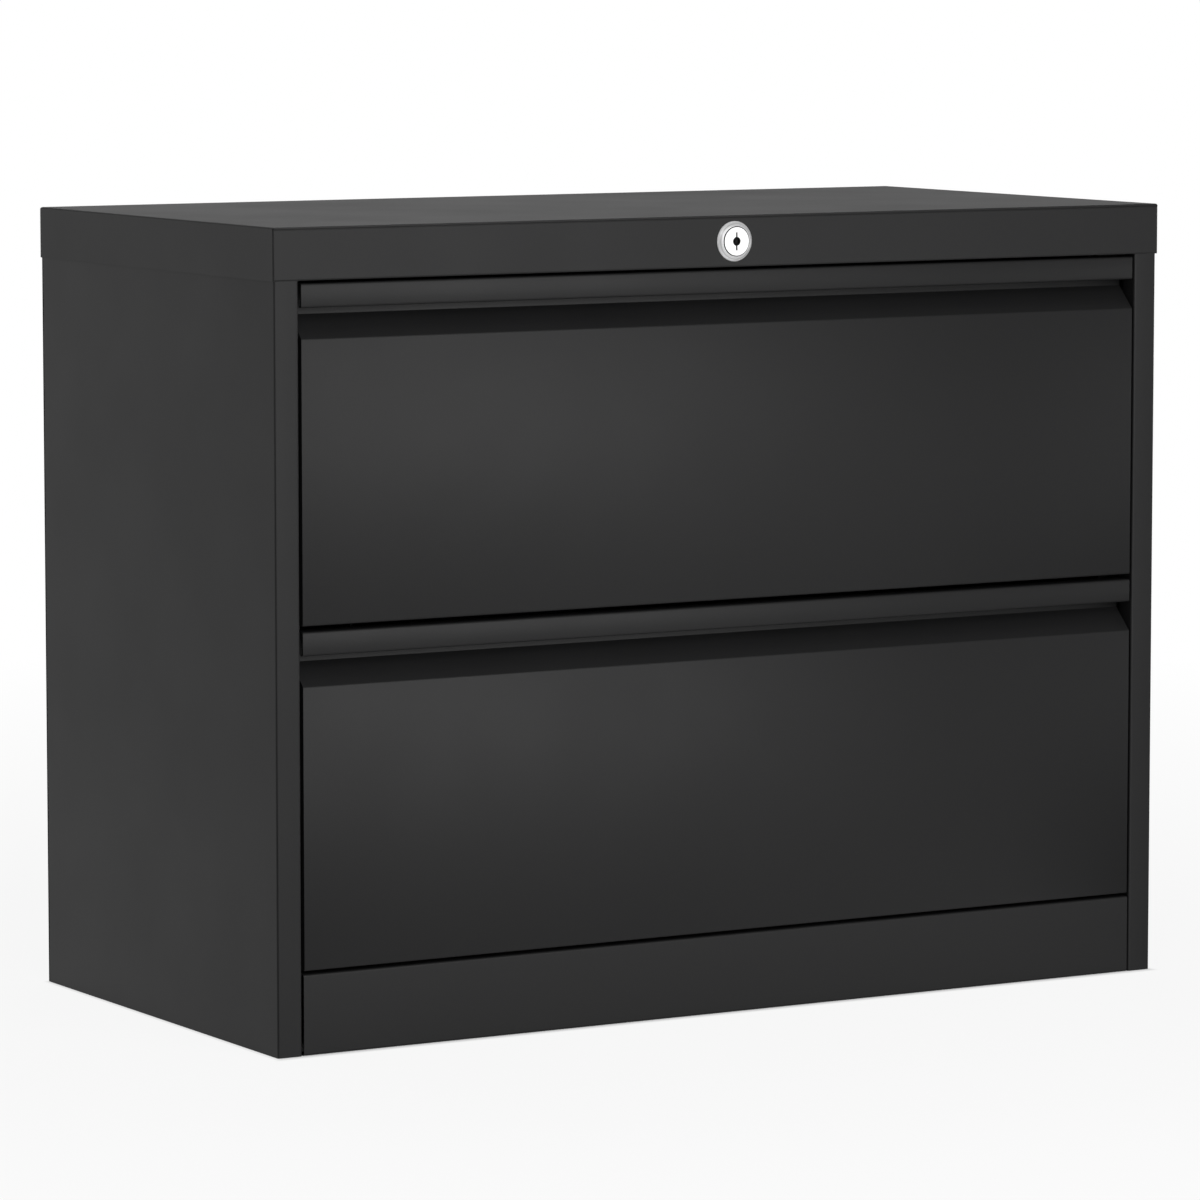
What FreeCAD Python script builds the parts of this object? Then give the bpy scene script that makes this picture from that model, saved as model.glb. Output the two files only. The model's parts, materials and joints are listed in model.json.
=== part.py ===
"""Two-drawer lateral file cabinet in folded sheet steel, with ball slides and a central lock.

Millimetres. +X is to the right, +Y to the back and +Z up. The origin lies on the floor, under the middle
of the whole outline. The drawers open towards -Y.
"""
import FreeCAD
import Part

import itertools
import math
import os

V = FreeCAD.Vector

# Case
WIDTH = 900.0
DEPTH = 450.0
HEIGHT = 700.0
SHEET = 0.8
BEND = 1.6
FLANGE = 12.0
SEAM = 0.2
CAP_SKIRT = 45.0
CAP_REAR_SKIRT = 20.0
CAP_PLAY = 0.5
CAP_ROUND = 2.0
CAP_RETURN = 10.0
STILE_WIDTH = 23.2
STILE_DEPTH = 20.0
STILE_TURN = 10.0
REAR_FLANGE = 18.0
FOOT_FLANGE = 15.0
PLINTH_HEIGHT = 69.5
PLINTH_END_GAP = 1.6
PLINTH_RETURN = 40.0
PAN_FLANGE = 20.0
RAIL_DEPTH = 14.0

# Levelling glides
GLIDE_FLATS = 27.0
GLIDE_FOOT = 10.0
GLIDE_STUD_RADIUS = 4.0
GLIDE_STUD_GAP = 8.0
GLIDE_INSET = 32.0
GLIDE_BRACKET = 60.0
GLIDE_BRACKET_LEVEL = 28.0
GLIDE_BRACKET_GAP = 2.5
GLIDE_BRACKET_SHEET = 1.5
GLIDE_NUT_FLATS = 13.0
GLIDE_NUT_HEIGHT = 6.5
GLIDE_PLAY = 0.25

# Drawer fronts
TOP_GAP = 2.2
MIDDLE_GAP = 4.6
BOTTOM_GAP = 2.7
SIDE_GAP = 2.5
LIP_HEIGHT = 20.5
LIP_HEM = 5.0
LIP_HEM_RISE = 6.0
PULL_DEPTH = 20.0
PULL_WALL = 6.3
PULL_SLOPE = 20.0

# Drawer boxes
DRAWER_LIFT = 8.0
DRAWER_DROP = 45.0
DRAWER_REAR_GAP = 36.0
DRAWER_HEM = 10.0
DRAWER_HEM_DROP = 8.0
LEDGE_TAIL = 20.0
HANGER_SPACING = 330.0
HANGER_THICK = 3.0
HANGER_HEIGHT = 12.0
HANGER_LEG = 5.0
HANGER_LEG_DROP = 7.0
HANGER_PLAY = 0.3

# Three-member ball slides
SLIDE_HEIGHT = 45.0
SLIDE_SHEET = 1.2
SLIDE_LEVEL = 70.0
SLIDE_SETBACK = 3.6
SLIDE_REAR_GAP = 22.0
SLIDE_OVERLAP = 210.0
SLIDE_PASS = 1.0
SLIDE_PLAY = 0.9
BALL = 3.6
BALL_PLAY = 0.25
BALL_SIDE_PLAY = 0.5
BALLS_PER_ROW = 3
CAGE_SHEET = 0.6
CAGE_PLAY = 0.3
CAGE_LENGTH = 150.0
HOOK_TAB_WIDTH = 9.0
HOOK_TAB_DROP = 9.0
HOOK_TAB_PLAY = 0.4

# Uprights that carry the slides
UPRIGHT_WIDTH = 30.0
UPRIGHT_FOOT = 10.0
UPRIGHT_SHEET = 1.2
UPRIGHT_TOP_GAP = 5.0
UPRIGHT_FRONT_GAP = 10.0
UPRIGHT_REAR_GAP = 26.0
UPRIGHT_SLOT = 14.0

# Lock
LOCK_PROUD = 4.5
PLUG_RADIUS = 12.5
PLUG_THICK = 2.6
PLUG_STAND = 0.5
PLUG_PLAY = 0.3
BEZEL_RIM = 1.2
BEZEL_FLARE = 3.5
BEZEL_EDGE = 0.8
CORE_RADIUS = 6.5
CORE_PLAY = 0.08
BARREL_WALL = 3.0
BARREL_PLAY = 0.3
LOCK_NUT_FLATS = 27.0
LOCK_NUT_THICK = 5.0
KEYHOLE_RADIUS = 3.85
KEYHOLE_DEPTH = 4.0
KEY_POST_RADIUS = 1.2
KEY_POST_SETBACK = 0.8
KEY_SLIT_WIDTH = 1.5
KEY_SLIT_HEIGHT = 15.8
KEY_SLIT_DEPTH = 2.0

# Lock linkage
CRANK = 14.0
LOCK_TURN = 90.0
CAM_THICK = 2.0
CAM_CLEARANCE = 0.4
CAM_HUB_RADIUS = 7.5
CAM_EYE_RADIUS = 4.5
CAM_PIN_RADIUS = 2.5
CAM_PIN_PLAY = 0.6
DRIVE_SETBACK = 4.0
DRIVE_PIN_RADIUS = 2.25
DRIVE_PIN_SETBACK = 12.0
BAR_THICK = 2.0
BAR_PLAY = 0.4
BAR_EDGE = 2.5
GUIDE_SHEET = 1.0
GUIDE_WIDTH = 12.0
GUIDE_FOOT = 8.0
LOCK_LIFT = 12.0
LOCK_BAR_WIDTH = 16.0
HOOK_HEIGHT = 14.0
HOOK_CLEARANCE = 3.0
HOOK_SIDE_PLAY = 1.2
STRIKE_RISE = 32.5
STRIKE_HEIGHT = 16.0
STRIKE_SHEET = 2.0
STRIKE_BASE = 18.0
STRIKE_PLAY = 1.0

# Case, worked out from the sizes above
HALF_SHEET = SHEET / 2
Y_CAP = (LOCK_PROUD - DEPTH) / 2
Y_BACK = Y_CAP + DEPTH
Y_INSIDE = Y_BACK - SHEET
Y_FRONT = Y_CAP + SHEET + CAP_PLAY
Y_STILE_BACK = Y_FRONT + STILE_DEPTH
Z_SKIRT = HEIGHT - CAP_SKIRT
Z_UNDER_CAP = HEIGHT - SHEET
Z_PANEL = HEIGHT - CAP_ROUND
Z_PAN = PLINTH_HEIGHT - SHEET
X_BODY = WIDTH / 2 - SHEET - CAP_PLAY
X_INSIDE = X_BODY - SHEET
X_STILE = X_BODY - STILE_WIDTH

# Slides' section, as depth from the upright towards the drawer and height from the slide's middle
RACE = BALL + 2 * BALL_PLAY
CAGE_ROOM = CAGE_SHEET + 2 * CAGE_PLAY
MIDDLE_WEB = SLIDE_SHEET + CAGE_ROOM
MIDDLE_LIP = MIDDLE_WEB + 2 * SLIDE_SHEET + BALL + 2 * BALL_SIDE_PLAY
OUTER_LIP = MIDDLE_LIP + SLIDE_PLAY + SLIDE_SHEET
SLIDE_THICK = OUTER_LIP + SLIDE_SHEET
INNER_EDGE = MIDDLE_WEB + SLIDE_SHEET + CAGE_ROOM
OUTER_TOP = SLIDE_HEIGHT / 2
MIDDLE_TOP = OUTER_TOP - SLIDE_SHEET - RACE
INNER_TOP = MIDDLE_TOP - SLIDE_SHEET - RACE

# Drawers
FRONT_HEIGHT = (Z_SKIRT - PLINTH_HEIGHT - TOP_GAP - MIDDLE_GAP - BOTTOM_GAP) / 2
FRONT_DEPTH = PULL_DEPTH + SHEET
Z_LOWER = PLINTH_HEIGHT + BOTTOM_GAP
LEVELS = {"lower": Z_LOWER, "upper": Z_LOWER + FRONT_HEIGHT + MIDDLE_GAP}
X_FRONT = X_STILE - SIDE_GAP
X_SLIDE = X_STILE - SLIDE_PASS
X_DRAWER = X_SLIDE - SLIDE_THICK
Y_BOX = Y_FRONT + FRONT_DEPTH + SHEET
Y_BOX_BACK = Y_INSIDE - DRAWER_REAR_GAP
Y_SLIDE = Y_BOX + SLIDE_SETBACK
SLIDE_LENGTH = Y_INSIDE - SLIDE_REAR_GAP - Y_SLIDE
SLIDE_TRAVEL = 2 * (SLIDE_LENGTH - SLIDE_OVERLAP)
Y_CAGE = Y_SLIDE + SLIDE_TRAVEL / 4 + (SLIDE_OVERLAP - CAGE_LENGTH) / 2

# Lock and its linkage, which runs just behind the drawer fronts
LOCK_ANGLE = math.radians(LOCK_TURN)
Z_LOCK = Z_SKIRT + CAP_SKIRT / 2
BARREL_RADIUS = CORE_RADIUS + CORE_PLAY + BARREL_WALL
Y_DRIVE = Y_BOX + DRIVE_SETBACK
Y_CAM = Y_DRIVE - BAR_PLAY - CAM_THICK
Y_LOCK_BAR = Y_DRIVE + BAR_THICK + BAR_PLAY
Y_STRIKE = Y_LOCK_BAR + BAR_THICK + STRIKE_PLAY
CRANK_X = CRANK * math.sin(LOCK_ANGLE / 2)
CRANK_Z = CRANK * math.cos(LOCK_ANGLE / 2)
DRIVE_TRAVEL = 2 * CRANK_X
Z_DRIVE = Z_LOCK - (CRANK + CRANK_Z) / 2
CRANK_SLOT = CAM_PIN_RADIUS + CAM_PIN_PLAY
DRIVE_HALF = (CRANK - CRANK_Z) / 2 + CRANK_SLOT + BAR_EDGE
X_LOCK_BAR = X_INSIDE - BAR_PLAY - LOCK_BAR_WIDTH
X_DRIVE_PIN = X_LOCK_BAR - DRIVE_PIN_SETBACK
X_HOOK = X_DRAWER + STRIKE_SHEET + HOOK_SIDE_PLAY
STRIKE_LEVEL = SLIDE_LEVEL + SLIDE_HEIGHT / 2 + STRIKE_RISE

UPRIGHT_STARTS = {
    "front": Y_STRIKE + UPRIGHT_FRONT_GAP + UPRIGHT_FOOT,
    "rear": Y_INSIDE - UPRIGHT_REAR_GAP - UPRIGHT_FOOT - UPRIGHT_WIDTH,
}


# Building blocks
def plan(z):
    """Points drawn in plan, as (x, y) at height z."""
    return lambda a, b: V(a, b, z)


def side_view(x):
    """Points drawn from the side, as (y, z) at x."""
    return lambda a, b: V(x, a, b)


def front_view(y):
    """Points drawn from the front, as (x, z) at y."""
    return lambda a, b: V(a, y, b)


def box(x, y, z):
    """A block between the (low, high) pairs x, y and z."""
    return Part.makeBox(x[1] - x[0], y[1] - y[0], z[1] - z[0], V(x[0], y[0], z[0]))


def rod(radius, start, end):
    """A round bar between two points."""
    along = end - start
    return Part.makeCylinder(radius, along.Length, start, along)


def closed_face(corners):
    """A flat face inside straight edges."""
    return Part.Face(Part.makePolygon(corners + corners[:1]))


def prism(points, plane, sweep):
    """A straight-sided outline carried along sweep."""
    return closed_face([plane(a, b) for a, b in points]).extrude(sweep)


def hexagon(flats, centre, sweep, across):
    """A hexagonal block whose outline lies round centre, with its first corner towards across."""
    third = V(sweep).normalize().cross(across)
    radius = flats / math.sqrt(3)
    angles = [step * math.pi / 3 for step in range(6)]
    corners = [centre + (across * math.cos(angle) + third * math.sin(angle)) * radius for angle in angles]
    return closed_face(corners).extrude(sweep)


def direction(start, end):
    return (end - start).normalize()


def left_of(way):
    return V(-way.y, way.x, 0)


def sheet_side(points, thickness, bend):
    """The left side of a folded sheet's centre line: lines as (start, end), arcs as (start, middle, end)."""
    half = thickness / 2
    curves = []
    here = points[0] + left_of(direction(points[0], points[1])) * half
    for before, corner, after in zip(points, points[1:], points[2:]):
        way_in = direction(before, corner)
        way_out = direction(corner, after)
        if bend == 0:
            mitre = (left_of(way_in) + left_of(way_out)) * (half / (1 + way_in.dot(way_out)))
            curves.append((here, corner + mitre))
            here = corner + mitre
            continue
        turn = math.atan2(way_in.cross(way_out).z, way_in.dot(way_out))
        side = math.copysign(1, turn)
        reach = bend * math.tan(abs(turn) / 2)
        centre = corner - way_in * reach + left_of(way_in) * (side * bend)
        arc_start = corner - way_in * reach + left_of(way_in) * half
        arc_middle = centre + direction(centre, corner) * (bend - side * half)
        arc_end = corner + way_out * reach + left_of(way_out) * half
        curves.append((here, arc_start))
        curves.append((arc_start, arc_middle, arc_end))
        here = arc_end
    curves.append((here, points[-1] + left_of(direction(points[-2], points[-1])) * half))
    return curves


def curve_edge(corners):
    """A line through two points or an arc through three."""
    if len(corners) == 2:
        return Part.makeLine(*corners)
    return Part.Arc(*corners).toShape()


def folded_sheet(points, plane, sweep, thickness=SHEET, bend=0):
    """Sheet folded along a centre line and carried along sweep, with round bends where bend is given."""
    line = [V(a, b, 0) for a, b in points]
    near = sheet_side(line, thickness, bend)
    far = sheet_side(line[::-1], thickness, bend)
    curves = near + [(near[-1][-1], far[0][0])] + far + [(far[-1][-1], near[0][0])]
    edges = [curve_edge([plane(point.x, point.y) for point in curve]) for curve in curves]
    return Part.Face(Part.Wire(edges)).extrude(sweep)


def slot(start, end, radius, plane, sweep):
    """A round-ended cutter between two points."""
    a = V(*start, 0)
    b = V(*end, 0)
    way = direction(a, b)
    side = left_of(way) * radius
    curves = [
        (a + side, a - way * radius, a - side),
        (a - side, b - side),
        (b - side, b + way * radius, b + side),
        (b + side, a + side),
    ]
    edges = [curve_edge([plane(point.x, point.y) for point in curve]) for curve in curves]
    return Part.Face(Part.Wire(edges)).extrude(sweep)


def turned_on_lock(profile):
    """A turned shape on the lock's axis, from (radius, distance in front of the cap) points."""
    face = closed_face([V(radius, Y_CAP - ahead, Z_LOCK) for radius, ahead in profile])
    return face.revolve(V(0, 0, Z_LOCK), V(0, 1, 0), 360)


def mirrored(shape):
    """The left-hand twin of a right-hand shape."""
    return shape.mirror(V(0, 0, 0), V(1, 0, 0))


def spread(first, last, count):
    """Evenly spaced values from first to last."""
    return [first + (last - first) * step / (count - 1) for step in range(count)]


# Case
def top_cap():
    """Tray with deep skirts at the front and sides, a shallow one at the back and a hole for the lock."""
    outer = box((-WIDTH / 2, WIDTH / 2), (Y_CAP, Y_BACK), (Z_SKIRT, HEIGHT))
    x_inner = WIDTH / 2 - SHEET
    inner = box((-x_inner, x_inner), (Y_CAP + SHEET, Y_INSIDE), (Z_SKIRT - CAP_SKIRT, Z_UNDER_CAP))

    def round_top(block, radius):
        top = block.BoundBox.ZMax
        return block.makeFillet(radius, [edge for edge in block.Edges if edge.BoundBox.ZMin > top - radius])

    cap = round_top(outer, CAP_ROUND).cut(round_top(inner, CAP_ROUND - SHEET))
    rear_opening = box((-x_inner, x_inner), (Y_INSIDE, Y_BACK), (Z_SKIRT, HEIGHT - CAP_REAR_SKIRT))
    x_return = X_STILE - SEAM
    y_return = (Y_CAP + HALF_SHEET, Y_CAP + CAP_RETURN)
    front_return = box((-x_return, x_return), y_return, (Z_SKIRT, Z_SKIRT + SHEET))
    hole = rod(BARREL_RADIUS + BARREL_PLAY, V(0, Y_CAP, Z_LOCK), V(0, Y_CAP + CAP_RETURN, Z_LOCK))
    return cap.cut(rear_opening).fuse(front_return).removeSplitter().cut(hole)


def side_panel():
    """Right-hand side: outer skin, front stile folded into a channel, rear flange and foot flange."""
    y_rear = Y_INSIDE - HALF_SHEET
    y_turn = Y_STILE_BACK - HALF_SHEET
    folds = [
        (X_STILE + STILE_TURN, y_turn),
        (X_STILE + HALF_SHEET, y_turn),
        (X_STILE + HALF_SHEET, Y_FRONT + HALF_SHEET),
        (X_BODY - HALF_SHEET, Y_FRONT + HALF_SHEET),
        (X_BODY - HALF_SHEET, y_rear),
        (X_BODY - REAR_FLANGE, y_rear),
    ]
    panel = folded_sheet(folds, plan(0), V(0, 0, Z_PANEL), bend=BEND)
    foot_y = (Y_STILE_BACK, Y_BACK - REAR_FLANGE)
    foot = box((X_INSIDE - FOOT_FLANGE, X_INSIDE + HALF_SHEET), foot_y, (0, SHEET))
    return panel.fuse(foot).removeSplitter()


def back_panel():
    """Flat back over the side panels' rear flanges, with a flange folded in at its top and foot."""
    top = HEIGHT - CAP_REAR_SKIRT - SEAM
    x_fold = X_BODY - REAR_FLANGE - SEAM
    y_skin = Y_BACK - HALF_SHEET
    folds = [
        (Y_BACK - FLANGE, top - HALF_SHEET),
        (y_skin, top - HALF_SHEET),
        (y_skin, HALF_SHEET),
        (Y_BACK - FLANGE, HALF_SHEET),
    ]
    panel = folded_sheet(folds, side_view(-x_fold), V(2 * x_fold, 0, 0))
    skin = box((-X_BODY, X_BODY), (Y_INSIDE, Y_BACK), (0, top))
    return panel.fuse(skin).removeSplitter()


def base_pan():
    """Floor of the case: a shallow tray turned upside down."""
    x = X_INSIDE - SEAM
    y = (Y_STILE_BACK + SEAM, Y_INSIDE - SHEET - BEND)
    z_low = Z_PAN - PAN_FLANGE
    outer = box((-x, x), y, (z_low, Z_PAN))
    return outer.cut(box((-x + SHEET, x - SHEET), (y[0] + SHEET, y[1] - SHEET), (z_low, Z_PAN - SHEET)))


def kick_plate():
    """Plinth between the stiles, folded back under its foot and over the base pan."""
    x = X_STILE - PLINTH_END_GAP
    y_skin = Y_FRONT + HALF_SHEET
    folds = [
        (Y_FRONT + FOOT_FLANGE, HALF_SHEET),
        (y_skin, HALF_SHEET),
        (y_skin, PLINTH_HEIGHT - HALF_SHEET),
        (Y_FRONT + PLINTH_RETURN, PLINTH_HEIGHT - HALF_SHEET),
    ]
    return folded_sheet(folds, side_view(-x), V(2 * x, 0, 0), bend=BEND)


def top_front_rail():
    """Channel between the stiles behind the cap's skirt, which holds the lock's barrel."""
    x = X_STILE - SEAM
    y_skin = Y_FRONT + HALF_SHEET
    y_edge = Y_FRONT + RAIL_DEPTH
    z_low = Z_SKIRT + SHEET + CAP_PLAY + HALF_SHEET
    z_high = Z_UNDER_CAP - HALF_SHEET
    folds = [(y_edge, z_low), (y_skin, z_low), (y_skin, z_high), (y_edge, z_high)]
    rail = folded_sheet(folds, side_view(-x), V(2 * x, 0, 0), bend=BEND)
    return rail.cut(rod(BARREL_RADIUS + BARREL_PLAY, V(0, Y_FRONT, Z_LOCK), V(0, y_edge, Z_LOCK)))


def glide_points():
    """The four glides' centres, by name."""
    x = X_INSIDE - GLIDE_INSET
    y_front = Y_STILE_BACK + GLIDE_INSET
    y_rear = Y_BACK - REAR_FLANGE - GLIDE_INSET
    return {
        "front_left": (-x, y_front),
        "front_right": (x, y_front),
        "rear_left": (-x, y_rear),
        "rear_right": (x, y_rear),
    }


def glide_bracket(x, y):
    """Angle on the side panel's foot, with a nut welded over the hole for the glide's stud."""
    side = math.copysign(1, x)
    half = GLIDE_BRACKET_SHEET / 2
    level = GLIDE_BRACKET_LEVEL + half
    folds = [
        (side * (X_INSIDE - half), Z_PAN - PAN_FLANGE - GLIDE_BRACKET_GAP),
        (side * (X_INSIDE - half), level),
        (side * (X_INSIDE - GLIDE_BRACKET), level),
    ]
    sweep = V(0, GLIDE_BRACKET, 0)
    angle = folded_sheet(folds, front_view(y - GLIDE_BRACKET / 2), sweep, GLIDE_BRACKET_SHEET)
    seat = V(x, y, GLIDE_BRACKET_LEVEL + GLIDE_BRACKET_SHEET)
    nut = hexagon(GLIDE_NUT_FLATS, seat, V(0, 0, GLIDE_NUT_HEIGHT), V(1, 0, 0))
    bore = rod(GLIDE_STUD_RADIUS + GLIDE_PLAY, V(x, y, 0), V(x, y, Z_PAN))
    return angle.fuse(nut).cut(bore)


def levelling_glide(x, y):
    """Foot with flats for a spanner, on a stud."""
    foot = hexagon(GLIDE_FLATS, V(x, y, 0), V(0, 0, GLIDE_FOOT), V(1, 0, 0))
    stud_top = Z_PAN - SHEET - GLIDE_STUD_GAP
    return foot.fuse(rod(GLIDE_STUD_RADIUS, V(x, y, GLIDE_FOOT), V(x, y, stud_top))).removeSplitter()


def upright(start):
    """Right-hand hat-section post on the side panel, with a slot for each slide's hook."""
    half = UPRIGHT_SHEET / 2
    x_foot = X_INSIDE - half
    x_web = X_SLIDE + half
    end = start + UPRIGHT_WIDTH
    folds = [
        (x_foot, start - UPRIGHT_FOOT),
        (x_foot, start + half),
        (x_web, start + half),
        (x_web, end - half),
        (x_foot, end - half),
        (x_foot, end + UPRIGHT_FOOT),
    ]
    post = folded_sheet(folds, plan(Z_PAN), V(0, 0, Z_SKIRT - UPRIGHT_TOP_GAP - Z_PAN), UPRIGHT_SHEET)
    reach = HOOK_TAB_WIDTH / 2 + HOOK_TAB_PLAY
    middle = (start + end) / 2
    for base in LEVELS.values():
        z = base + SLIDE_LEVEL
        slot_z = (z - UPRIGHT_SLOT / 2, z + UPRIGHT_SLOT / 2)
        post = post.cut(box((X_SLIDE, X_SLIDE + UPRIGHT_SHEET), (middle - reach, middle + reach), slot_z))
    return post


# Slides, drawn for the right-hand side
def slide_member(folds, z):
    """A slide's channel from the (depth, height) points of its sheet's middle."""
    points = [(X_SLIDE - depth, z + height) for depth, height in folds]
    return folded_sheet(points, front_view(Y_SLIDE), V(0, SLIDE_LENGTH, 0), SLIDE_SHEET)


def slide_outer(z):
    """Fixed channel, hooked through the two uprights."""
    half = SLIDE_SHEET / 2
    top = OUTER_TOP - half
    lip = MIDDLE_TOP + SLIDE_PLAY
    edge = OUTER_LIP - half
    folds = [(edge, lip), (edge, top), (half, top), (half, -top), (edge, -top), (edge, -lip)]
    member = slide_member(folds, z)
    x_hook = X_SLIDE + UPRIGHT_SHEET + HOOK_TAB_PLAY
    z_neck = z - UPRIGHT_SLOT / 2 + HOOK_TAB_PLAY
    for start in UPRIGHT_STARTS.values():
        middle = start + UPRIGHT_WIDTH / 2
        width = (middle - HOOK_TAB_WIDTH / 2, middle + HOOK_TAB_WIDTH / 2)
        neck = box((X_SLIDE - half, x_hook + SLIDE_SHEET), width, (z_neck, z_neck + SLIDE_SHEET))
        hook = box((x_hook, x_hook + SLIDE_SHEET), width, (z_neck - HOOK_TAB_DROP, z_neck + SLIDE_SHEET))
        member = member.fuse(neck).fuse(hook)
    return member.removeSplitter()


def slide_middle(z):
    """Channel that runs between the outer and inner members."""
    half = SLIDE_SHEET / 2
    top = MIDDLE_TOP - half
    lip = INNER_TOP + SLIDE_PLAY
    edge = MIDDLE_LIP - half
    web = MIDDLE_WEB + half
    return slide_member([(edge, lip), (edge, top), (web, top), (web, -top), (edge, -top), (edge, -lip)], z)


def slide_inner(z):
    """Channel on the drawer's side."""
    half = SLIDE_SHEET / 2
    top = INNER_TOP - half
    web = SLIDE_THICK - half
    return slide_member([(INNER_EDGE, top), (web, top), (web, -top), (INNER_EDGE, -top)], z)


def ball(centre):
    """A ball with twenty flat faces, as it is small and hidden in its race."""
    golden = (1 + math.sqrt(5)) / 2
    size = BALL / 2 / math.hypot(1, golden)
    corners = []
    for short, long in itertools.product((-1, 1), (-golden, golden)):
        corners += [V(0, short, long), V(short, long, 0), V(long, 0, short)]
    nearest = min((b - a).Length for a, b in itertools.combinations(corners, 2))
    faces = []
    for three in itertools.combinations(corners, 3):
        longest = max((b - a).Length for a, b in itertools.combinations(three, 2))
        if longest < nearest * math.sqrt(golden):
            a, b, c = [centre + corner * size for corner in three]
            outward = (b - a).cross(c - a).dot(a - centre) > 0
            faces.append(closed_face([a, b, c] if outward else [a, c, b]))
    return Part.Solid(Part.Shell(faces))


def ball_cage(z, web, lip, row):
    """Strip bent round a slide's web, with a row of balls held in each of its edges."""
    back = web + CAGE_PLAY + CAGE_SHEET / 2
    front = lip - SLIDE_SHEET - CAGE_PLAY
    folds = [(front, row), (back, row), (back, -row), (front, -row)]
    points = [(X_SLIDE - depth, z + height) for depth, height in folds]
    cage = folded_sheet(points, front_view(Y_CAGE), V(0, CAGE_LENGTH, 0), CAGE_SHEET)
    x = X_SLIDE - lip + SLIDE_SHEET + BALL_SIDE_PLAY + BALL / 2
    for y in spread(Y_CAGE + 2 * BALL, Y_CAGE + CAGE_LENGTH - 2 * BALL, BALLS_PER_ROW):
        for height in (-row, row):
            cage = cage.fuse(ball(V(x, y, z + height)))
    return cage.removeSplitter()


def both_sides(shape):
    """A right-hand shape with its left-hand twin."""
    return Part.Compound([shape, mirrored(shape)])


def outer_ball_cages(z):
    """Cages between the outer and middle members."""
    return both_sides(ball_cage(z, SLIDE_SHEET, OUTER_LIP, MIDDLE_TOP + RACE / 2))


def inner_ball_cages(z):
    """Cages between the middle and inner members."""
    return both_sides(ball_cage(z, MIDDLE_WEB + SLIDE_SHEET, MIDDLE_LIP, INNER_TOP + RACE / 2))


# Drawers
def drawer_top(base):
    """Height of the drawer box's hemmed edges."""
    return base + FRONT_HEIGHT - DRAWER_DROP


def drawer_front(base):
    """Formed front: hemmed lip, recess behind it, ramp, flat panel, and returns at the foot and ends."""
    top = base + FRONT_HEIGHT
    crease = top - LIP_HEIGHT - PULL_WALL
    slope = math.atan2(PULL_SLOPE, PULL_DEPTH)
    drop = HALF_SHEET * (1 / math.cos(slope) - math.tan(slope))
    y_skin = Y_FRONT + HALF_SHEET
    y_hem = Y_FRONT + LIP_HEM - HALF_SHEET
    y_wall = Y_FRONT + PULL_DEPTH + HALF_SHEET
    y_return = Y_FRONT + FRONT_DEPTH
    z_lip = top - LIP_HEIGHT + HALF_SHEET
    ramp_top = (y_wall, crease - drop)
    panel_top = (y_skin, crease - PULL_SLOPE - drop)
    foot = (y_skin, base + HALF_SHEET)
    foot_return = (y_return, base + HALF_SHEET)
    folds = [
        (y_hem, z_lip + LIP_HEM_RISE),
        (y_hem, z_lip),
        (y_skin, z_lip),
        (y_skin, top - HALF_SHEET),
        (y_wall, top - HALF_SHEET),
        ramp_top,
        panel_top,
        foot,
        foot_return,
    ]
    front = folded_sheet(folds, side_view(-X_FRONT), V(2 * X_FRONT, 0, 0), bend=BEND)
    end = [panel_top, foot, foot_return, (y_return, ramp_top[1])]
    for x in (-X_FRONT, X_FRONT - SHEET):
        front = front.fuse(prism(end, side_view(x), V(SHEET, 0, 0)))
    return front.removeSplitter()


def front_inner_panel(base):
    """Flat panel that closes the back of the formed front."""
    x = X_FRONT - SHEET
    return box((-x, x), (Y_BOX - SHEET, Y_BOX), (base + SHEET, base + FRONT_HEIGHT - SHEET))


def hemmed_edge(edge, inward, top, foot):
    """Centre line of a drawer wall seen end on: hem, wall and bottom flange, from its outer face at edge."""
    skin = edge + inward * HALF_SHEET
    hem = edge + inward * (DRAWER_HEM - HALF_SHEET)
    return [
        (hem, top - DRAWER_HEM_DROP),
        (hem, top - HALF_SHEET),
        (skin, top - HALF_SHEET),
        (skin, foot + HALF_SHEET),
        (edge + inward * FLANGE, foot + HALF_SHEET),
    ]


def drawer_wall(base):
    """Right-hand wall with a hemmed top edge and a flange under the bottom."""
    folds = hemmed_edge(X_DRAWER, -1, drawer_top(base), base + DRAWER_LIFT)
    return folded_sheet(folds, front_view(Y_BOX), V(0, Y_BOX_BACK - SHEET - Y_BOX, 0))


def drawer_back(base):
    """Back with a hemmed top edge and a flange under the bottom, both notched at the corners."""
    foot = base + DRAWER_LIFT
    top = drawer_top(base)
    x = X_DRAWER - max(FLANGE, DRAWER_HEM) - SEAM
    back = folded_sheet(hemmed_edge(Y_BOX_BACK, -1, top, foot), side_view(-x), V(2 * x, 0, 0))
    skin = box((-X_DRAWER, X_DRAWER), (Y_BOX_BACK - SHEET, Y_BOX_BACK), (foot, top))
    return back.fuse(skin).removeSplitter()


def drawer_bottom(base):
    """Flat bottom that lies on the flanges of the walls and back."""
    x = X_DRAWER - SHEET - SEAM
    z = base + DRAWER_LIFT + SHEET
    return box((-x, x), (Y_BOX, Y_BOX_BACK - SHEET - SEAM), (z, z + SHEET))


def front_ledge(base):
    """Hemmed ledge on the inner panel, for the front ends of the file rails."""
    top = drawer_top(base)
    x = X_DRAWER - DRAWER_HEM - SEAM
    y_lip = Y_BOX + DRAWER_HEM - HALF_SHEET
    y_tail = Y_BOX + HALF_SHEET
    z_ledge = top - HALF_SHEET
    folds = [(y_lip, top - DRAWER_HEM_DROP), (y_lip, z_ledge), (y_tail, z_ledge), (y_tail, top - LEDGE_TAIL)]
    return folded_sheet(folds, side_view(-x), V(2 * x, 0, 0))


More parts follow.
